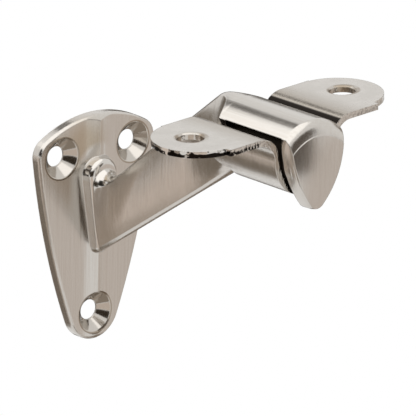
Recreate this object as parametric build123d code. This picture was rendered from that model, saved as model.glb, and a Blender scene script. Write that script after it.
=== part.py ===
"""Wall bracket for a wooden handrail: a one-piece casting and the formed strap that swings on it.

Millimetres. X runs along the wall, Z is up, and the wall is the plane y = 0 with the room at y < 0.
The origin is the middle of the wall plate's back. "Reach" is the distance out from the wall, so a
point at reach r has y = -r.
"""
from build123d import *
from math import asin, atan, cos, radians, sin, sqrt, tan
import os

# Wall plate
PLATE_WIDTH = 37.6
PLATE_TOP = 28.8
PLATE_FOOT = -29.2
PLATE_CROWN_RADIUS = 32.0
PLATE_SHOULDER_RADIUS = 4.5
PLATE_FOOT_RADIUS = 7.9
PLATE_FOOT_LEAN = 21.0
PLATE_THICKNESS = 3.0
PLATE_RIM_FALL = 0.2
PLATE_RIM_WALL = 1.9
PLATE_RIM_ROUND = 0.9
PLATE_RIM_OVER = 0.2
PLATE_RIM_SLOPE = 1.1
PLATE_SPINE_HEIGHT = 0.85
PLATE_SPINE_HALF_WIDTH = 5.5
PLATE_SPINE_SWEEP_AT = 0.42
PLATE_SPINE_SWEEP_RISE = 0.3

# Screw holes in the wall plate
SCREW_HOLE_DIAMETER = 5.1
SCREW_SINK_DIAMETER = 10.0
SCREW_SINK_ANGLE = 90.0
SCREW_MOUTH_WIDTH = 0.45
SCREW_MOUTH_DEPTH = 0.2
TOP_SCREW_SPACING = 23.0
TOP_SCREW_Z = 19.6
FOOT_SCREW_Z = -22.2

# Root boss on the plate
BOSS_TOP_Z = 18.6
BOSS_TOP_RADIUS = 5.0
BOSS_FOOT_Z = -6.7
BOSS_FOOT_RADIUS = 2.4
BOSS_REACH = 5.9
BOSS_DRAFT = 17.0
BOSS_TOP_ROUND = 1.6

# Arm, whose underside and top are straight lines in the side view
ARM_LOW_Z = -9.3
ARM_LOW_SLOPE = 0.685
ARM_HIGH_Z = 6.3
ARM_HIGH_SLOPE = 0.812
ARM_LOW_HALF_WIDTH = 1.5
ARM_HALF_WIDTH = 2.4
ARM_TOP_HALF_WIDTH = 1.9
ARM_EDGE_RISE = 0.9
ARM_ROOT_HALF_WIDTH = 4.0
ARM_ROOT_MIDDLE_HALF_WIDTH = 3.2
ARM_ROOT_FOOT_HALF_WIDTH = 1.7
ARM_ROOT_END = 13.0
ARM_ROOT_RISE = 4.4
ARM_ROOT_RISE_POWER = 2.6
ARM_ROOT_DOME = 4.2
ARM_FLARE_START = 36.8
ARM_FLARE_RADIUS = 26.0

# Neck, where the flare meets the head, its waist measured down from the head's top
NECK_WAIST_DROP = 7.5
NECK_WAIST_HALF_WIDTH = 6.9
NECK_LOW_HALF_WIDTH = 2.9

# Head, a keel-shaped bar along the reach, its drops measured down from its top
HEAD_BACK = 55.4
HEAD_FRONT = 81.0
HEAD_TOP_Z = 45.5
HEAD_CORNER_DROP = 3.4
HEAD_HALF_WIDTH = 8.8
HEAD_WAIST_DROP = 10.5
HEAD_WAIST_HALF_WIDTH = 7.6
HEAD_KEEL_DROP = 21.6
HEAD_KEEL_HALF_WIDTH = 2.2
HEAD_KEEL_RISE = 1.0
HEAD_HEEL_ROUND = 5.5
NOSE_DEPTH = 2.6
NOSE_DROP = 3.4
NOSE_SIDE = 0.65
NOSE_FLANK = 0.25
NOSE_KEEL = 0.3
NOSE_CROWN_RISE = 0.9
NOSE_CROWN_RADIUS = 60.0
NOSE_CROWN_DROP = 12.2

# Groove round the head, in which the strap swings
GROOVE_BACK = 57.6
GROOVE_FRONT = 76.7
CORE_RADIUS = 7.8
CORE_DROP = 9.0

# Strap, its heights measured from the middle of the core
STRAP_THICKNESS = 1.6
STRAP_CLEARANCE = 0.3
STRAP_BEND_RADIUS = 4.8
STRAP_FRONT = 75.9
STRAP_BACK = 58.0
STRAP_FLARE_LOW = -6.2
STRAP_FLARE_HIGH = 0.6
EAR_BACK = 52.0
EAR_HEIGHT = 6.85
EAR_STRIP_LENGTH = 47.2
EAR_END_SPACING = 44.2
EAR_END_RADIUS = 11.2
EAR_END_REACH = 63.4
EAR_HOLE_SPACING = 48.7
EAR_HOLE_REACH = 62.9
EAR_HOLE_DIAMETER = 6.3
EAR_HOLE_EASE = 0.35
STRAP_TILT = 2.9

# Values worked out from those above
boss_top_centre = BOSS_TOP_Z - BOSS_TOP_RADIUS
boss_foot_centre = BOSS_FOOT_Z + BOSS_FOOT_RADIUS
heel_reach = (HEAD_TOP_Z - ARM_HIGH_Z) / ARM_HIGH_SLOPE
heel_angle = atan(ARM_HIGH_SLOPE)
heel_tangent = HEAD_HEEL_ROUND * tan(heel_angle / 2)
heel_start = heel_reach - heel_tangent * cos(heel_angle)
heel_end = heel_reach + heel_tangent
neck_waist_z = HEAD_TOP_Z - NECK_WAIST_DROP
head_corner_z = HEAD_TOP_Z - HEAD_CORNER_DROP
nose_rim = HEAD_FRONT - NOSE_CROWN_RISE
head_waist_z = HEAD_TOP_Z - HEAD_WAIST_DROP
head_keel_z = HEAD_TOP_Z - HEAD_KEEL_DROP
head_arch_radius = (HEAD_HALF_WIDTH**2 + HEAD_CORNER_DROP**2) / (2 * HEAD_CORNER_DROP)
core_z = HEAD_TOP_Z - CORE_DROP
strap_inner_radius = CORE_RADIUS + STRAP_CLEARANCE
strap_outer_radius = strap_inner_radius + STRAP_THICKNESS
overrun = 5.0


def reach_plane(reach):
    """A sketch plane parallel to the wall whose X is X, whose Y is Z and which faces the room."""
    return Plane.XZ.offset(reach)


def between(start, end, share):
    return start + (end - start) * share


# Wall plate
def plate_outline():
    """Shield outline: a shallow crown, leaning sides and a round foot."""
    half = PLATE_WIDTH / 2
    shoulder_z = PLATE_TOP - PLATE_CROWN_RADIUS + sqrt(PLATE_CROWN_RADIUS**2 - half**2)
    lean = radians(PLATE_FOOT_LEAN)
    join_x = PLATE_FOOT_RADIUS * cos(lean)
    join_z = PLATE_FOOT + PLATE_FOOT_RADIUS * (1 - sin(lean))
    crown = ThreePointArc((-half, shoulder_z), (0, PLATE_TOP), (half, shoulder_z))
    right = TangentArc((join_x, join_z), (half, shoulder_z), tangent=(sin(lean), cos(lean)))
    foot = ThreePointArc((join_x, join_z), (0, PLATE_FOOT), (-join_x, join_z))
    left = TangentArc((-join_x, join_z), (-half, shoulder_z), tangent=(-sin(lean), cos(lean)))
    outline = make_face(Wire([crown, right, foot, left]))
    shoulders = outline.vertices().sort_by(Axis.Y)[-2:]
    return fillet(shoulders, PLATE_SHOULDER_RADIUS)


def plate_crown_profile():
    """Section across the plate, seen from above: flat shelves that sweep up to a central spine."""
    half = PLATE_WIDTH / 2 + overrun
    shelf = -PLATE_THICKNESS
    rim = shelf + PLATE_RIM_FALL
    spine = shelf - PLATE_SPINE_HEIGHT
    foot = PLATE_SPINE_HALF_WIDTH
    sweep_x = foot * PLATE_SPINE_SWEEP_AT
    sweep_y = shelf - PLATE_SPINE_HEIGHT * PLATE_SPINE_SWEEP_RISE
    edges = [
        Line((-half, 0), (-half, rim)),
        Line((-half, rim), (-foot, shelf)),
        ThreePointArc((-foot, shelf), (-sweep_x, sweep_y), (0, spine)),
        ThreePointArc((0, spine), (sweep_x, sweep_y), (foot, shelf)),
        Line((foot, shelf), (half, rim)),
        Line((half, rim), (half, 0)),
        Line((half, 0), (-half, 0)),
    ]
    return make_face(Wire(edges))


def screw_hole(x, z):
    """Cutter for one countersunk hole: bore, cone, eased mouth, then straight so the mouth stays round."""
    bore = SCREW_HOLE_DIAMETER / 2
    cone = SCREW_SINK_DIAMETER / 2
    mouth = cone + SCREW_MOUTH_WIDTH
    slope = radians(SCREW_SINK_ANGLE / 2)
    cone_top = PLATE_THICKNESS - SCREW_MOUTH_DEPTH
    cone_foot = cone_top - (cone - bore) * cos(slope) / sin(slope)
    top = PLATE_THICKNESS + overrun
    half_section = Polyline(
        (0, -overrun), (bore, -overrun), (bore, cone_foot), (cone, cone_top),
        (mouth, PLATE_THICKNESS), (mouth, top), (0, top), close=True)
    cutter = revolve(Plane.XY * make_face(half_section), Axis.Y)
    return Pos(x, 0, z) * Rot(180, 0, 0) * cutter


def plate_blank():
    """The outline standing off the wall, its rim rounded over and then leaning in under the spine."""
    round_top = PLATE_THICKNESS + PLATE_RIM_OVER
    steps = [(0, PLATE_RIM_WALL)]
    turns = (30, 55, 75)
    for turn in turns:
        inset = PLATE_RIM_ROUND * (1 - cos(radians(turn)))
        steps.append((inset, between(PLATE_RIM_WALL, round_top, sin(radians(turn)))))
    top = PLATE_THICKNESS + overrun
    steps.append((inset + PLATE_RIM_SLOPE * (top - steps[-1][1]), top))
    outline = plate_outline()
    wall = extrude(reach_plane(0) * outline, PLATE_RIM_WALL)
    layers = [reach_plane(reach) * (offset(outline, -inset) if inset else outline) for inset, reach in steps]
    return wall + loft(layers[:-1]) + loft(layers[-2:], ruled=True)


def wall_plate():
    height = PLATE_TOP - PLATE_FOOT + 2 * overrun
    crown = extrude(Plane.XY.offset(PLATE_FOOT - overrun) * plate_crown_profile(), height)
    plate = plate_blank() & crown
    half = TOP_SCREW_SPACING / 2
    for x, z in [(-half, TOP_SCREW_Z), (half, TOP_SCREW_Z), (0, FOOT_SCREW_Z)]:
        plate -= screw_hole(x, z)
    return plate


# Boss and arm
def rib_outline(inset):
    """Outline of the boss: two circles and their outer tangents, all set in by the same amount."""
    top = BOSS_TOP_RADIUS - inset
    foot = BOSS_FOOT_RADIUS - inset
    lean = asin((top - foot) / (boss_top_centre - boss_foot_centre))
    top_join = (top * cos(lean), boss_top_centre - top * sin(lean))
    foot_join = (foot * cos(lean), boss_foot_centre - foot * sin(lean))
    edges = [
        ThreePointArc((-top_join[0], top_join[1]), (0, boss_top_centre + top), top_join),
        Line(top_join, foot_join),
        ThreePointArc(foot_join, (0, boss_foot_centre - foot), (-foot_join[0], foot_join[1])),
        Line((-foot_join[0], foot_join[1]), (-top_join[0], top_join[1])),
    ]
    return make_face(Wire(edges))


def boss():
    """Drafted rib up the middle of the plate, domed at its top."""
    height = BOSS_REACH - PLATE_THICKNESS
    inset = height * sin(radians(BOSS_DRAFT)) / cos(radians(BOSS_DRAFT))
    rib = loft([reach_plane(PLATE_THICKNESS) * rib_outline(0), reach_plane(BOSS_REACH) * rib_outline(inset)])
    root = extrude(reach_plane(PLATE_THICKNESS / 2) * rib_outline(0), PLATE_THICKNESS / 2)
    front_top = rib.edges().sort_by(Axis.Y)[:4].sort_by(Axis.Z)[-1]
    rib = fillet(front_top, BOSS_TOP_ROUND)
    return rib + root


def arm_low(reach):
    return ARM_LOW_Z + ARM_LOW_SLOPE * reach


def arm_high(reach):
    """Crest of the arm: a straight line, then the arc of the heel, then level along the head."""
    if reach <= heel_start:
        return ARM_HIGH_Z + ARM_HIGH_SLOPE * reach
    past = max(heel_end - reach, 0)
    return HEAD_TOP_Z - HEAD_HEEL_ROUND + sqrt(HEAD_HEEL_ROUND**2 - past**2)


def arm_section(reach, high, low_half, middle_half, high_half, middle_z, high_rise):
    """Four-sided section of the arm: round bottom, bowed flanks and an arched top."""
    low = arm_low(reach)
    low_edge = low + ARM_EDGE_RISE
    high_edge = high - high_rise
    edges = [
        ThreePointArc((-low_half, low_edge), (0, low), (low_half, low_edge)),
        ThreePointArc((low_half, low_edge), (middle_half, middle_z), (high_half, high_edge)),
        ThreePointArc((high_half, high_edge), (0, high), (-high_half, high_edge)),
        ThreePointArc((-high_half, high_edge), (-middle_half, middle_z), (-low_half, low_edge)),
    ]
    return reach_plane(reach) * make_face(Wire(edges))


def root_section(reach):
    """Section between the boss and the straight bar, narrowing quickly and then levelling out."""
    closeness = (ARM_ROOT_END - reach) / (ARM_ROOT_END - BOSS_REACH)
    wide = closeness**2
    high = arm_high(reach) + ARM_ROOT_RISE * closeness**ARM_ROOT_RISE_POWER
    low_half = between(ARM_LOW_HALF_WIDTH, ARM_ROOT_FOOT_HALF_WIDTH, wide)
    middle_half = between(ARM_HALF_WIDTH, ARM_ROOT_MIDDLE_HALF_WIDTH, wide)
    high_half = between(ARM_TOP_HALF_WIDTH, ARM_ROOT_HALF_WIDTH, wide)
    middle_z = (arm_low(reach) + arm_high(reach)) / 2
    dome = between(ARM_EDGE_RISE, ARM_ROOT_DOME, wide)
    return arm_section(reach, high, low_half, middle_half, high_half, middle_z, dome)


def flare_opening(reach):
    return ARM_FLARE_RADIUS - sqrt(ARM_FLARE_RADIUS**2 - (reach - ARM_FLARE_START) ** 2)


def arch_rise(half):
    return head_arch_radius - sqrt(head_arch_radius**2 - half**2)


def flare_section(reach):
    """Section where the bar opens out into the head; its top only widens once it has levelled off."""
    share = flare_opening(reach) / flare_opening(HEAD_BACK)
    top_share = max(reach - heel_start, 0) / (HEAD_BACK - heel_start)
    middle_z = between((arm_low(reach) + arm_high(reach)) / 2, neck_waist_z, share)
    low_half = between(ARM_LOW_HALF_WIDTH, NECK_LOW_HALF_WIDTH, share)
    middle_half = between(ARM_HALF_WIDTH, NECK_WAIST_HALF_WIDTH, share)
    high_half = between(ARM_TOP_HALF_WIDTH, HEAD_HALF_WIDTH, top_share**3)
    edge = (ARM_EDGE_RISE - arch_rise(ARM_TOP_HALF_WIDTH)) * (1 - top_share) ** 2
    return arm_section(reach, arm_high(reach), low_half, middle_half, high_half, middle_z,
                       arch_rise(high_half) + edge)


def arm():
    """Root flare, straight bar, flare and neck, one loft each."""
    root_reaches = [between(BOSS_REACH, ARM_ROOT_END, i / 4) for i in range(5)]
    flare_reaches = [between(ARM_FLARE_START, heel_start, i / 2) for i in range(3)]
    neck_reaches = [between(heel_start, HEAD_BACK, i / 5) for i in range(6)]
    root = loft([root_section(r) for r in root_reaches])
    bar = loft([root_section(ARM_ROOT_END), flare_section(ARM_FLARE_START)], ruled=True)
    flare = loft([flare_section(r) for r in flare_reaches])
    neck = loft([flare_section(r) for r in neck_reaches])
    return root + bar + flare + neck


# Head
def keel_outline(share):
    """Section of the head: arched top, corners, and flanks that curve in to the keel. The nose's
    sections have a share of its drop, up to 1 at the end face."""
    side = NOSE_SIDE * share
    drop = NOSE_DROP * share
    corner = (HEAD_HALF_WIDTH - side, head_corner_z - drop)
    waist = (HEAD_WAIST_HALF_WIDTH - NOSE_FLANK * share, head_waist_z)
    keel_low = head_keel_z + NOSE_KEEL * share
    keel = (HEAD_KEEL_HALF_WIDTH - NOSE_FLANK * share, keel_low + HEAD_KEEL_RISE)
    edges = [
        ThreePointArc((-corner[0], corner[1]), (0, HEAD_TOP_Z - drop), corner),
        Spline(corner, waist, keel),
        ThreePointArc(keel, (0, keel_low), (-keel[0], keel[1])),
        Spline((-keel[0], keel[1]), (-waist[0], waist[1]), (-corner[0], corner[1])),
    ]
    return make_face(Wire(edges))


def nose():
    """Front of the head, rolled over at its top, eased at its flanks, and its end slightly crowned."""
    turns = (0, 25, 50, 80)
    most = radians(turns[-1])
    sections = []
    for turn in turns:
        reach = nose_rim - NOSE_DEPTH * (1 - sin(radians(turn)) / sin(most))
        share = (1 - cos(radians(turn))) / (1 - cos(most))
        sections.append(reach_plane(reach) * keel_outline(share))
    crown = Pos(0, NOSE_CROWN_RADIUS - HEAD_FRONT, HEAD_TOP_Z - NOSE_CROWN_DROP) * Sphere(NOSE_CROWN_RADIUS)
    end = extrude(reach_plane(nose_rim) * keel_outline(1), NOSE_CROWN_RISE)
    return loft(sections) + (end & crown)


def head():
    body = extrude(reach_plane(GROOVE_BACK) * keel_outline(0), nose_rim - NOSE_DEPTH - GROOVE_BACK) + nose()
    lip = extrude(flare_section(HEAD_BACK), GROOVE_BACK - HEAD_BACK)
    groove_length = GROOVE_FRONT - GROOVE_BACK
    groove_middle = (GROOVE_BACK + GROOVE_FRONT) / 2
    depth = head_corner_z - head_keel_z + overrun
    width = 2 * (HEAD_HALF_WIDTH + overrun)
    groove = Pos(0, -groove_middle, head_corner_z - depth / 2) * Box(width, groove_length, depth)
    core_circle = Pos(0, core_z) * Circle(CORE_RADIUS)
    front_wall = (GROOVE_FRONT + HEAD_FRONT) / 2
    core = extrude(reach_plane(HEAD_BACK) * core_circle, front_wall - HEAD_BACK)
    return body + lip - groove + core


def bracket_casting():
    return wall_plate() + boss() + arm() + head()


# Strap
def strap_profile():
    """Edge of the bent strip, seen from the front: a U with two ears turned out flat."""
    inner = strap_inner_radius
    outer = strap_outer_radius
    big = STRAP_BEND_RADIUS + STRAP_THICKNESS
    small = STRAP_BEND_RADIUS
    bend_x = inner + big
    bend_z = EAR_HEIGHT - big
    end_x = EAR_HOLE_SPACING / 2 + EAR_END_RADIUS + overrun
    under = EAR_HEIGHT - STRAP_THICKNESS
    edges = [
        Line((-end_x, under), (-end_x, EAR_HEIGHT)),
        Line((-end_x, EAR_HEIGHT), (-bend_x, EAR_HEIGHT)),
        RadiusArc((-bend_x, EAR_HEIGHT), (-inner, bend_z), big),
        Line((-inner, bend_z), (-inner, 0)),
        ThreePointArc((-inner, 0), (0, -inner), (inner, 0)),
        Line((inner, 0), (inner, bend_z)),
        RadiusArc((inner, bend_z), (bend_x, EAR_HEIGHT), big),
        Line((bend_x, EAR_HEIGHT), (end_x, EAR_HEIGHT)),
        Line((end_x, EAR_HEIGHT), (end_x, under)),
        Line((end_x, under), (bend_x, under)),
        RadiusArc((bend_x, under), (outer, bend_z), -small),
        Line((outer, bend_z), (outer, 0)),
        ThreePointArc((outer, 0), (0, -outer), (-outer, 0)),
        Line((-outer, 0), (-outer, bend_z)),
        RadiusArc((-outer, bend_z), (-bend_x, under), -small),
        Line((-bend_x, under), (-end_x, under)),
    ]
    return make_face(Wire(edges))


def ear_outline():
    """The strap in plan: a straight strip that steps in to a round end about each hole."""
    strip = Pos(0, -(STRAP_FRONT + EAR_BACK) / 2) * Rectangle(EAR_STRIP_LENGTH, STRAP_FRONT - EAR_BACK)
    end = Circle(EAR_END_RADIUS)
    half = EAR_END_SPACING / 2
    return strip + Pos(-half, -EAR_END_REACH) * end + Pos(half, -EAR_END_REACH) * end


def flank_outline():
    """The strap from its side: narrow round the core, then flaring back to the width of the ears."""
    low = -strap_outer_radius - overrun
    high = EAR_HEIGHT + overrun
    flare = 1 / sqrt(2)
    middle = (-between(EAR_BACK, STRAP_BACK, 1 - flare), between(STRAP_FLARE_HIGH, STRAP_FLARE_LOW, flare))
    edges = [
        Line((-STRAP_FRONT, low), (-STRAP_FRONT, high)),
        Line((-STRAP_FRONT, high), (-EAR_BACK, high)),
        Line((-EAR_BACK, high), (-EAR_BACK, STRAP_FLARE_HIGH)),
        ThreePointArc((-EAR_BACK, STRAP_FLARE_HIGH), middle, (-STRAP_BACK, STRAP_FLARE_LOW)),
        Line((-STRAP_BACK, STRAP_FLARE_LOW), (-STRAP_BACK, low)),
        Line((-STRAP_BACK, low), (-STRAP_FRONT, low)),
    ]
    return make_face(Wire(edges))


def rail_strap():
    """Bent strip, trimmed to its plan and its side view, then swung to the tilt it stands at."""
    half_length = EAR_HOLE_SPACING / 2 + EAR_END_RADIUS + overrun
    strip = extrude(reach_plane(EAR_BACK - overrun) * strap_profile(), STRAP_FRONT - EAR_BACK + 2 * overrun)
    height = strap_outer_radius + EAR_HEIGHT + 2 * overrun
    plan = extrude(Plane.XY.offset(-strap_outer_radius - overrun) * ear_outline(), height)
    side = extrude(Plane.YZ.offset(-half_length) * flank_outline(), 2 * half_length)
    strap = strip & plan & side
    hole = Cylinder(EAR_HOLE_DIAMETER / 2, 4 * STRAP_THICKNESS)
    for x in (-EAR_HOLE_SPACING / 2, EAR_HOLE_SPACING / 2):
        strap -= Pos(x, -EAR_HOLE_REACH, EAR_HEIGHT) * hole
    rims = [e for e in strap.edges().filter_by(GeomType.CIRCLE) if e.radius == EAR_HOLE_DIAMETER / 2]
    strap = chamfer([e for e in rims if e.center().Z > EAR_HEIGHT - STRAP_THICKNESS / 2], EAR_HOLE_EASE)
    return Pos(0, 0, core_z) * Rot(0, -STRAP_TILT, 0) * strap


os.makedirs("parts", exist_ok=True)
export_step(bracket_casting(), "parts/bracket_casting.step")
export_step(rail_strap(), "parts/rail_strap.step")
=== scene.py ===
"""Looks for a wall bracket that carries a wooden handrail: satin nickel on a casting and a strap."""
import bpy
from math import cos, pi, radians, sin, tan
from mathutils import Matrix, Vector

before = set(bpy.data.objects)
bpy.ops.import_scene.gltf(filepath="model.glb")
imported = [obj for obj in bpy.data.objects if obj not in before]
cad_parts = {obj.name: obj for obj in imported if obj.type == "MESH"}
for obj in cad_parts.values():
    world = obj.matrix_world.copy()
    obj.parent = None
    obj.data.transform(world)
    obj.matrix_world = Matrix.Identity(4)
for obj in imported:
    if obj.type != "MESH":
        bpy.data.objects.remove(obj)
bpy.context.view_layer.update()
scene = bpy.context.scene


# Bracket casting. The real piece is a zinc die casting, brushed with a belt and then plated in satin
# nickel. The countersinks and the dome of the boss are out of the belt's reach and stay bright. The
# groove under the head is rough, and painted near black as painted shade, deep in the gap between
# the head and the strap.
CASTING_NICKEL = (0.59, 0.56, 0.52)
CASTING_SHADE = (0.562, 0.526, 0.482)
CASTING_LINE_SHADES = (0.34, 0.62)
CASTING_ROUGHNESS = 0.20
CASTING_EDGE_ROUND = 0.00035
CASTING_BUMP = 0.05
CASTING_BUMP_DEPTH = 0.0002

UPRIGHT_FACE = (0.62, 0.5)
UPRIGHT_LINES = (3400, 3400, 60)
UPRIGHT_STREAKS = (700, 700, 18)
LENGTHWISE_LINES = (3000, 60, 3000)
LENGTHWISE_STREAKS = (800, 18, 800)
PLATING_CLOUD = (120, 120, 90)
LINES_SWAY = 0.05
STREAKS_SWAY = 0.04
CLOUD_SWAY = 0.05
STREAKS_RELIEF = 1.5

PLATE_FRONT = (0.6, 0.3)
PLATE_BACK = (-0.0003, -0.0001)
PLATE_BACK_ROUGHNESS = 0.5
# A soft, darker tan patch on the front of the plate, between the left countersink and the boss.
TAN_PATCH_TONE = (0.44, 0.36, 0.26)
TAN_PLACE = (-0.0045, -0.003, 0.0220)
TAN_RADIUS = 0.002
TAN_SOFT = 0.007
TAN_SHARE = 0.75

SINK_PLACES = ((-0.0115, 0, 0.0196), (0.0115, 0, 0.0196), (0, 0, -0.0222))
SINK_RADIUS = 0.0054
SINK_SOFT = 0.0002
SINK_NICKEL = (0.55, 0.515, 0.47)
SINK_ROUGHNESS = 0.12
LIP_INNER_RADIUS = 0.0050
LIP_BROWN = (0.26, 0.20, 0.14)
LIP_SHARE = 0.75

DOME_PLACE = (0, -0.0055, 0.0150)
DOME_RADIUS = 0.0058
DOME_SOFT = 0.002
DOME_ROUGHNESS = 0.13

GROOVE_BACK = -0.05755
GROOVE_FRONT = -0.07675
GROOVE_TOP = 0.04205
GROOVE_SOFT = 0.00005
# Painted shade: the groove is painted near black, as the shade deep in the gap between the head and the
# strap.
GROOVE_PAINTED_SHADE = (0.035, 0.028, 0.02)
GROOVE_ROUGHNESS = 0.6

BEVEL_SAMPLES = 6


def add(tree, kind, **settings):
    node = tree.nodes.new(kind)
    for name, value in settings.items():
        setattr(node, name, value)
    return node


def feed(tree, node, name, value):
    """Links a socket to a node's input, or writes a plain value on it."""
    socket = node.inputs[name]
    if isinstance(value, bpy.types.NodeSocket):
        tree.links.new(value, socket)
    else:
        socket.default_value = value


def maths(tree, operation, *values):
    node = add(tree, "ShaderNodeMath", operation=operation)
    for place, value in enumerate(values):
        feed(tree, node, place, value)
    return node.outputs[0]


def step(tree, value, low, high, to_low=0.0, to_high=1.0):
    """Eases from one number to another as a value passes between two bounds.

    A named pair holds the bounds. A named four holds the bounds and then the two numbers.
    """
    node = add(tree, "ShaderNodeMapRange", interpolation_type="SMOOTHSTEP")
    names = ("Value", "From Min", "From Max", "To Min", "To Max")
    for name, setting in zip(names, (value, low, high, to_low, to_high)):
        feed(tree, node, name, setting)
    return node.outputs[0]


def blend_colour(tree, share, first, second):
    node = add(tree, "ShaderNodeMix", data_type="RGBA")
    feed(tree, node, "Factor", share)
    for name, value in (("A", first), ("B", second)):
        socket = [s for s in node.inputs if s.name == name and s.type == "RGBA"][0]
        if isinstance(value, bpy.types.NodeSocket):
            tree.links.new(value, socket)
        else:
            socket.default_value = tuple(value) + (1,)
    return [s for s in node.outputs if s.type == "RGBA"][0]


def grain(tree, where, fineness, detail=3.0):
    """Noise with its own fineness along X, Y and Z, in grains to the metre."""
    scaled = add(tree, "ShaderNodeVectorMath", operation="MULTIPLY")
    tree.links.new(where, scaled.inputs[0])
    scaled.inputs[1].default_value = fineness
    texture = add(tree, "ShaderNodeTexNoise")
    tree.links.new(scaled.outputs[0], texture.inputs["Vector"])
    texture.inputs["Scale"].default_value = 1.0
    texture.inputs["Detail"].default_value = detail
    return texture.outputs["Fac"]


def sway(tree, value, size):
    """Noise turned into a swing about zero, of the given size."""
    return maths(tree, "MULTIPLY", maths(tree, "SUBTRACT", value, 0.5), size)


def split(tree, vector):
    """The X, Y and Z sockets of a vector, as a list."""
    parts = add(tree, "ShaderNodeSeparateXYZ")
    tree.links.new(vector, parts.inputs[0])
    return list(parts.outputs)


def nearness(tree, where, place, radius, soft, weights=(1, 1, 1)):
    """1 within a radius of a place and 0 outside it. A weight of 0 leaves that direction out."""
    flat = add(tree, "ShaderNodeVectorMath", operation="MULTIPLY")
    tree.links.new(where, flat.inputs[0])
    flat.inputs[1].default_value = weights
    gap = add(tree, "ShaderNodeVectorMath", operation="DISTANCE")
    tree.links.new(flat.outputs[0], gap.inputs[0])
    gap.inputs[1].default_value = place
    return step(tree, gap.outputs["Value"], radius + soft, radius)


def new_material(name):
    material = bpy.data.materials.new(name)
    material.use_nodes = True
    tree = material.node_tree
    where = add(tree, "ShaderNodeTexCoord").outputs["Object"]
    facing = add(tree, "ShaderNodeNewGeometry").outputs["Normal"]
    return material, tree, tree.nodes["Principled BSDF"], where, facing


def relief(tree, height, strength, depth, edge_round):
    """Bump over edges that are eased as plating and brushing ease them."""
    eased = add(tree, "ShaderNodeBevel", samples=BEVEL_SAMPLES)
    feed(tree, eased, "Radius", edge_round)
    bump = add(tree, "ShaderNodeBump")
    feed(tree, bump, "Strength", strength)
    feed(tree, bump, "Distance", depth)
    feed(tree, bump, "Height", height)
    tree.links.new(eased.outputs[0], bump.inputs["Normal"])
    return bump.outputs[0]


def sinks_and_lips(tree, where, front):
    """Marks the three countersinks, and the brown lip round each."""
    along_wall = (1, 0, 1)
    sinks = 0.0
    lips = 0.0
    for place in SINK_PLACES:
        whole = nearness(tree, where, place, SINK_RADIUS, SINK_SOFT, along_wall)
        inner = nearness(tree, where, place, LIP_INNER_RADIUS, SINK_SOFT, along_wall)
        sinks = maths(tree, "MAXIMUM", sinks, whole)
        lips = maths(tree, "MAXIMUM", lips, maths(tree, "SUBTRACT", whole, inner))
    return maths(tree, "MULTIPLY", front, sinks), maths(tree, "MULTIPLY", front, lips)


def groove(tree, y, z):
    """Marks the groove that the strap lies in."""
    before_back = step(tree, y, GROOVE_BACK, GROOVE_BACK - GROOVE_SOFT)
    behind_front = step(tree, y, GROOVE_FRONT, GROOVE_FRONT + GROOVE_SOFT)
    below_top = step(tree, z, GROOVE_TOP, GROOVE_TOP - 2 * GROOVE_SOFT)
    between = maths(tree, "MULTIPLY", behind_front, before_back)
    return maths(tree, "MULTIPLY", between, below_top)


def casting_material():
    material, tree, shader, where, facing = new_material("satin_nickel_casting")
    y, z = split(tree, where)[1:]
    normal_y, normal_z = split(tree, facing)[1:]
    upright = step(tree, maths(tree, "ABSOLUTE", normal_z), *UPRIGHT_FACE)
    lines = step(tree, upright, 0, 1, grain(tree, where, LENGTHWISE_LINES),
                 grain(tree, where, UPRIGHT_LINES))
    streaks = step(tree, upright, 0, 1, grain(tree, where, LENGTHWISE_STREAKS, detail=2),
                   grain(tree, where, UPRIGHT_STREAKS, detail=2))
    cloud = grain(tree, where, PLATING_CLOUD, detail=2)

    front = step(tree, normal_y, *PLATE_FRONT)
    back = step(tree, y, *PLATE_BACK)
    sinks, lips = sinks_and_lips(tree, where, front)
    dome = nearness(tree, where, DOME_PLACE, DOME_RADIUS, DOME_SOFT)
    dome = maths(tree, "MULTIPLY", front, dome)
    tan_patch = nearness(tree, where, TAN_PLACE, TAN_RADIUS, TAN_SOFT)
    tan_patch = maths(tree, "MULTIPLY", maths(tree, "MULTIPLY", front, tan_patch), TAN_SHARE)
    # Painted shade in the groove under the head.
    groove_shade = groove(tree, y, z)

    brushed = step(tree, lines, *CASTING_LINE_SHADES)
    tone = blend_colour(tree, brushed, CASTING_SHADE, CASTING_NICKEL)
    tone = blend_colour(tree, tan_patch, tone, TAN_PATCH_TONE)
    tone = blend_colour(tree, dome, tone, CASTING_NICKEL)
    tone = blend_colour(tree, sinks, tone, SINK_NICKEL)
    tone = blend_colour(tree, maths(tree, "MULTIPLY", lips, LIP_SHARE), tone, LIP_BROWN)
    tone = blend_colour(tree, groove_shade, tone, GROOVE_PAINTED_SHADE)
    feed(tree, shader, "Base Color", tone)
    feed(tree, shader, "Metallic", 1.0)

    rough = maths(tree, "ADD", CASTING_ROUGHNESS, sway(tree, lines, LINES_SWAY))
    rough = maths(tree, "ADD", rough, sway(tree, streaks, STREAKS_SWAY))
    rough = maths(tree, "ADD", rough, sway(tree, cloud, CLOUD_SWAY))
    rough = step(tree, back, 0, 1, rough, PLATE_BACK_ROUGHNESS)
    rough = step(tree, dome, 0, 1, rough, DOME_ROUGHNESS)
    rough = step(tree, sinks, 0, 1, rough, SINK_ROUGHNESS)
    rough = step(tree, groove_shade, 0, 1, rough, GROOVE_ROUGHNESS)
    feed(tree, shader, "Roughness", rough)

    out_of_reach = maths(tree, "MAXIMUM", sinks, dome)
    height = maths(tree, "ADD", lines, maths(tree, "MULTIPLY", streaks, STREAKS_RELIEF))
    height = maths(tree, "MULTIPLY", height, maths(tree, "SUBTRACT", 1.0, out_of_reach))
    normal = relief(tree, height, CASTING_BUMP, CASTING_BUMP_DEPTH, CASTING_EDGE_ROUND)
    tree.links.new(normal, shader.inputs["Normal"])
    return material


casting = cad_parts["bracket_casting"]
casting.data.materials.clear()
casting.data.materials.append(casting_material())


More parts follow.
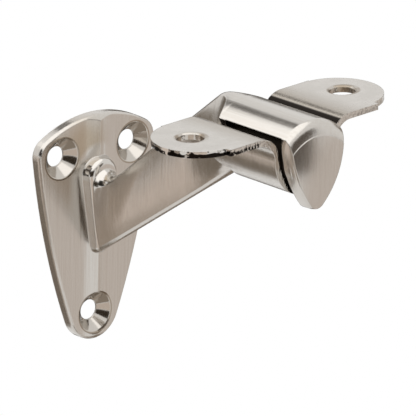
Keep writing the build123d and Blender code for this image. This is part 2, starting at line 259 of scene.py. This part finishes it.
# Rail strap. The real piece is blanked from 1.6 mm steel strip, bent into a U with two ears, and
# plated. Its broad faces are satin. Its sheared edges are bright above, where the punch cut the
# strip, and dark and torn below, where it broke away, most of all on the left ear.
STRAP_NICKEL = (0.60, 0.57, 0.53)
STRAP_SHADE = (0.56, 0.53, 0.49)
# Black for the torn steel on the sheared edges, and painted shadow on the faces of the bends that look
# in towards the head.
TEAR_AND_SHADOW_BLACK = (0.012, 0.009, 0.007)
STRAP_CLOUD = (260, 260, 260)
STRAP_CLOUD_SHADES = (0.35, 0.65)
STRAP_LINES = (500, 1500, 500)
STRAP_ROUGHNESS = 0.25
STRAP_LINES_SWAY = 0.08
STRAP_CLOUD_SWAY = 0.10
STRAP_LINES_RELIEF = 0.25
STRAP_BUMP = 0.35
STRAP_BUMP_DEPTH = 0.0003
STRAP_TURN = radians(2.9)

# Painted shade: the tops of the ears are painted darker next to the bends, where they begin to curve
# away from the light.
BEND_PAINTED_SHADE = (0.43, 0.39, 0.34)
BEND_REACH = (0.0205, 0.0125)
BEND_TOP_FACE = (0.5, 0.8)
INNER_BEND_FACE = (-0.48, -0.56)

EDGE_ROUGHNESS = 0.09
EDGE_ROUND = 0.00022
CUT_FACE = (0.35, 0.65)
WALL_FACE = (0.75, 0.45)

EAR_REACH = (0.0148, 0.0152)
EAR_UNDERSIDE = 0.04176
LEFT_EAR_END = (-0.019, -0.024)
HOLE_PLACES = ((-0.02435, -0.0629, 0), (0.02435, -0.0629, 0))
HOLE_REACH = 0.0038
HOLE_SOFT = 0.0005
HOLE_BROWN = (0.25, 0.19, 0.125)
HOLE_CLOUD_SHARES = (0.40, 0.60, 0.2, 0.8)

TEARS_ON_SIDE = (2200, 2200, 900)
TEARS_ON_END = (700, 700, 900)
TEARS_START = 0.44
TEARS_FULL = 0.52
FEWER_TEARS_ABOVE = (0.0007, 0.0012, -0.03, 0.14)
MORE_TEARS_ON_END = (0, 1, 0.02, -0.05)
FAINTER_TEARS_ON_RIGHT = (0, 0.001, 1.0, 0.3)


def ear_holes(tree, where):
    """Marks the wall of the screw hole in each ear."""
    from_above = (1, 1, 0)
    holes = 0.0
    for place in HOLE_PLACES:
        hole = nearness(tree, where, place, HOLE_REACH, HOLE_SOFT, from_above)
        holes = maths(tree, "MAXIMUM", holes, hole)
    return holes


def torn_edges(tree, x, z, on_end, tears, outline):
    """Marks the tears, heavier low on the edge and round the left ear's end, faint on the right ear."""
    underside = maths(tree, "ADD", maths(tree, "MULTIPLY", x, tan(STRAP_TURN)), EAR_UNDERSIDE)
    above = maths(tree, "SUBTRACT", z, underside)
    shift = maths(tree, "ADD", step(tree, above, *FEWER_TEARS_ABOVE),
                  step(tree, on_end, *MORE_TEARS_ON_END))
    torn = step(tree, tears, maths(tree, "ADD", TEARS_START, shift),
                maths(tree, "ADD", TEARS_FULL, shift))
    torn = maths(tree, "MULTIPLY", outline, torn)
    return maths(tree, "MULTIPLY", torn, step(tree, x, *FAINTER_TEARS_ON_RIGHT))


def strap_material():
    material, tree, shader, where, facing = new_material("satin_nickel_strap")
    x, y, z = split(tree, where)
    normal_x, normal_y, normal_z = split(tree, facing)
    out_from_middle = maths(tree, "ABSOLUTE", x)
    lines = grain(tree, where, STRAP_LINES)
    cloud = grain(tree, where, STRAP_CLOUD)
    on_end = step(tree, x, *LEFT_EAR_END)
    tears = step(tree, on_end, 0, 1, grain(tree, where, TEARS_ON_SIDE, detail=2),
                 grain(tree, where, TEARS_ON_END, detail=2))

    on_ear = step(tree, out_from_middle, *EAR_REACH)
    wall = step(tree, maths(tree, "ABSOLUTE", normal_z), *WALL_FACE)
    ear_wall = maths(tree, "MULTIPLY", on_ear, wall)
    strip_side = step(tree, maths(tree, "ABSOLUTE", normal_y), *CUT_FACE)
    edge = maths(tree, "MAXIMUM", strip_side, ear_wall)
    holes = ear_holes(tree, where)
    outline = maths(tree, "SUBTRACT", ear_wall, holes)
    torn = torn_edges(tree, x, z, on_end, tears, outline)

    # Painted shade on the ear tops next to the bends.
    bend_top = step(tree, normal_z, *BEND_TOP_FACE)
    bend_top_shade = maths(tree, "MULTIPLY", step(tree, out_from_middle, *BEND_REACH), bend_top)
    # Painted shadow: the faces of the bends that look in towards the head are painted black, as the
    # shadow in the narrow gap beside the head.
    outward = maths(tree, "MULTIPLY", normal_x, maths(tree, "SIGN", x))
    inner_bend_shadow = step(tree, outward, *INNER_BEND_FACE)
    inner_bend_shadow = maths(tree, "MULTIPLY", inner_bend_shadow, maths(tree, "SUBTRACT", 1.0, on_ear))

    tone = blend_colour(tree, step(tree, cloud, *STRAP_CLOUD_SHADES), STRAP_SHADE, STRAP_NICKEL)
    tone = blend_colour(tree, bend_top_shade, tone, BEND_PAINTED_SHADE)
    tone = blend_colour(tree, edge, tone, STRAP_NICKEL)
    rim = maths(tree, "MULTIPLY", holes, step(tree, cloud, *HOLE_CLOUD_SHARES))
    tone = blend_colour(tree, rim, tone, HOLE_BROWN)
    # Black for the torn steel, and painted shadow in the bends.
    tone = blend_colour(tree, maths(tree, "MAXIMUM", torn, inner_bend_shadow), tone, TEAR_AND_SHADOW_BLACK)
    feed(tree, shader, "Base Color", tone)
    feed(tree, shader, "Metallic", 1.0)

    rough = maths(tree, "ADD", STRAP_ROUGHNESS, sway(tree, lines, STRAP_LINES_SWAY))
    rough = maths(tree, "ADD", rough, sway(tree, cloud, STRAP_CLOUD_SWAY))
    feed(tree, shader, "Roughness", step(tree, edge, 0, 1, rough, EDGE_ROUGHNESS))

    faces = maths(tree, "MULTIPLY", lines, STRAP_LINES_RELIEF)
    height = step(tree, edge, 0, 1, faces, tears)
    normal = relief(tree, height, STRAP_BUMP, STRAP_BUMP_DEPTH, EDGE_ROUND)
    tree.links.new(normal, shader.inputs["Normal"])
    return material


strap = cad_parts["rail_strap"]
strap.data.materials.clear()
strap.data.materials.append(strap_material())


# Room: a white tent with a pale floor, far below because a wall carries the bracket. A soft box hangs
# overhead, and grey and brown cards stand round the bracket, as a studio has them, to draw the soft
# dark lines in the plating. Only reflections see the cards.
MIDDLE = Vector((0, -0.045, 0.012))
PALE = (0.9, 0.9, 0.9, 1)
WHITE = (1, 1, 1, 1)
FLOOR_SIZE = 8
FLOOR_HEIGHT = -1.0
CARD_DISTANCE = 0.9
NEAR_CARD_DISTANCE = 0.3
SOFT_BOX_DISTANCE = 1.1


def white_to_eye(tree, other):
    """Plain white to the camera and in mirrors and glass, and another shader for the rest."""
    path = add(tree, "ShaderNodeLightPath")
    seen = maths(tree, "MAXIMUM", path.outputs["Is Camera Ray"], path.outputs["Is Glossy Ray"])
    seen = maths(tree, "MAXIMUM", seen, path.outputs["Is Transmission Ray"])
    both = add(tree, "ShaderNodeMixShader")
    feed(tree, both, 0, seen)
    tree.links.new(other, both.inputs[1])
    return both


def build_tent():
    world = bpy.data.worlds.new("tent")
    scene.world = world
    world.use_nodes = True
    tree = world.node_tree
    tree.nodes.clear()
    soft = add(tree, "ShaderNodeBackground")
    feed(tree, soft, "Color", PALE)
    white = add(tree, "ShaderNodeBackground")
    feed(tree, white, "Color", WHITE)
    both = white_to_eye(tree, soft.outputs[0])
    tree.links.new(white.outputs[0], both.inputs[2])
    out = add(tree, "ShaderNodeOutputWorld")
    tree.links.new(both.outputs[0], out.inputs["Surface"])


def glowing(name, colour):
    """A new material with one emission node of the colour, not yet linked to an output."""
    material = bpy.data.materials.new(name)
    material.use_nodes = True
    tree = material.node_tree
    tree.nodes.clear()
    glow = add(tree, "ShaderNodeEmission")
    feed(tree, glow, "Color", tuple(colour) + (1,))
    return material, tree, glow


def build_floor():
    material, tree, glow = glowing("floor_white", WHITE[:3])
    matt = add(tree, "ShaderNodeBsdfDiffuse")
    feed(tree, matt, "Color", PALE)
    both = white_to_eye(tree, matt.outputs[0])
    tree.links.new(glow.outputs[0], both.inputs[2])
    out = add(tree, "ShaderNodeOutputMaterial")
    tree.links.new(both.outputs[0], out.inputs["Surface"])
    bpy.ops.object.select_all(action="DESELECT")
    bpy.ops.mesh.primitive_plane_add(size=FLOOR_SIZE, location=(0, 0, FLOOR_HEIGHT))
    floor = bpy.context.object
    floor.name = "floor"
    floor.data.materials.append(material)


def bearing(turn, height):
    """Unit direction from a turn about Z, counted from +X towards +Y, and a height over the horizon."""
    turn, height = radians(turn), radians(height)
    return Vector((cos(turn) * cos(height), sin(turn) * cos(height), sin(height)))


def card(name, turns, heights, colour, distance=CARD_DISTANCE):
    """A card that spans the given turns and heights, in degrees, as seen from the bracket."""
    middle_height = radians(sum(heights) / 2)
    way = bearing(sum(turns) / 2, sum(heights) / 2)
    width = 2 * distance * tan(radians((turns[1] - turns[0]) / 2)) * cos(middle_height)
    tall = 2 * distance * tan(radians((heights[1] - heights[0]) / 2))
    bpy.ops.object.select_all(action="DESELECT")
    bpy.ops.mesh.primitive_plane_add(size=1)
    sheet = bpy.context.object
    sheet.name = name
    turned = (-way).to_track_quat("Z", "Y").to_matrix().to_4x4()
    place = Matrix.Translation(MIDDLE + way * distance) @ turned
    sheet.data.transform(place @ Matrix.Diagonal((width, tall, 1, 1)))
    material, tree, glow = glowing(name, colour)
    out = add(tree, "ShaderNodeOutputMaterial")
    tree.links.new(glow.outputs[0], out.inputs["Surface"])
    sheet.data.materials.append(material)
    sheet.visible_camera = False
    sheet.visible_shadow = False
    sheet.visible_diffuse = False


def soft_box(name, turn, height, spread, strength):
    """A round lamp that looks as wide as the spread, in degrees, and adds to the tent's white."""
    lamp = bpy.data.lights.new(name, "AREA")
    lamp.shape = "DISK"
    lamp.size = 2 * SOFT_BOX_DISTANCE * tan(radians(spread / 2))
    area = pi * lamp.size**2 / 4
    lamp.energy = strength * pi * area
    way = bearing(turn, height)
    holder = bpy.data.objects.new(name, lamp)
    turned = way.to_track_quat("Z", "Y").to_matrix().to_4x4()
    holder.matrix_world = Matrix.Translation(MIDDLE + way * SOFT_BOX_DISTANCE) @ turned
    scene.collection.objects.link(holder)


build_tent()
build_floor()

# Turns in degrees, as one faces the wall: 0 is right, 90 the wall, 180 left and 270 away from it.
# The camera stands at a turn of 227 and a height of 18.
card("dark_side", (182, 246), (-7, 26), (0.05, 0.04, 0.03))
card("warm_side", (196, 246), (-46, -9), (0.78, 0.69, 0.62))
card("dark_dome", (146, 182), (4, 44), (0.02, 0.018, 0.015))
card("grey_root", (151, 172), (-40, -4), (0.40, 0.345, 0.30))
card("grey_side", (172, 184), (-40, -8), (0.40, 0.345, 0.30))
card("warm_left", (132, 150), (-30, -3), (0.86, 0.76, 0.69))
card("warm_left_low", (132, 152), (-50, -30), (0.52, 0.45, 0.39))
card("dark_back", (97, 131), (-47, -2), (0.24, 0.205, 0.17))
card("dark_neck", (66, 97), (-19, 8), (0.19, 0.165, 0.14))
card("grey_gap", (61, 73), (32, 52), (0.10, 0.09, 0.08))
card("dark_edge", (58, 100), (-33, -20), (0.12, 0.10, 0.08))
card("grey_low", (24, 66), (-14, 9), (0.14, 0.125, 0.11))
card("dark_front", (270, 305), (-12, 33), (0.13, 0.11, 0.095), NEAR_CARD_DISTANCE)
card("dark_low_back", (30, 60), (-36, -14), (0.10, 0.085, 0.07))
card("warm_front", (303, 338), (-50, -5), (0.76, 0.70, 0.655))
card("warm_right", (338, 378), (-50, -4), (0.68, 0.62, 0.57))
card("grey_right", (-4, 28), (-12, 16), (0.28, 0.235, 0.19))
card("brown_low", (8, 56), (-64, -38), (0.26, 0.21, 0.165))
card("grey_below", (210, 330), (-90, -52), (0.36, 0.31, 0.26))
soft_box("box_overhead", turn=172, height=75, spread=92, strength=0.65)


# Camera: a long lens to the left of the arm and a little above it, rolled by about a degree. Its
# angles and its aim bring the bracket to the same place in the frame as in the photograph.
LENS_PIXELS = 5012.4
FRAME_PIXELS = 416
SENSOR_WIDTH = 36
VIEW_TURN = radians(42.86)
VIEW_HEIGHT = radians(17.98)
VIEW_ROLL = radians(1.334)
VIEW_DISTANCE = 1.2
CLIP_END = 20
AIM_MIDDLE = Vector((0, -0.040, 0.010))
AIM_RIGHT = 0.002083
AIM_UP = 0.003988

look = Vector((sin(VIEW_TURN) * cos(VIEW_HEIGHT), cos(VIEW_TURN) * cos(VIEW_HEIGHT),
               -sin(VIEW_HEIGHT)))
level = Vector((cos(VIEW_TURN), -sin(VIEW_TURN), 0))
upright = level.cross(look)
right = level * cos(VIEW_ROLL) + upright * sin(VIEW_ROLL)
up = upright * cos(VIEW_ROLL) - level * sin(VIEW_ROLL)
aim = AIM_MIDDLE + right * AIM_RIGHT + up * AIM_UP
camera = bpy.data.objects.new("camera", bpy.data.cameras.new("camera"))
facing = Matrix((right, up, -look)).transposed().to_4x4()
camera.matrix_world = Matrix.Translation(aim - look * VIEW_DISTANCE) @ facing
camera.data.lens = LENS_PIXELS / FRAME_PIXELS * SENSOR_WIDTH
camera.data.sensor_width = SENSOR_WIDTH
camera.data.clip_end = CLIP_END
scene.collection.objects.link(camera)
scene.camera = camera
scene.view_settings.view_transform = "Standard"
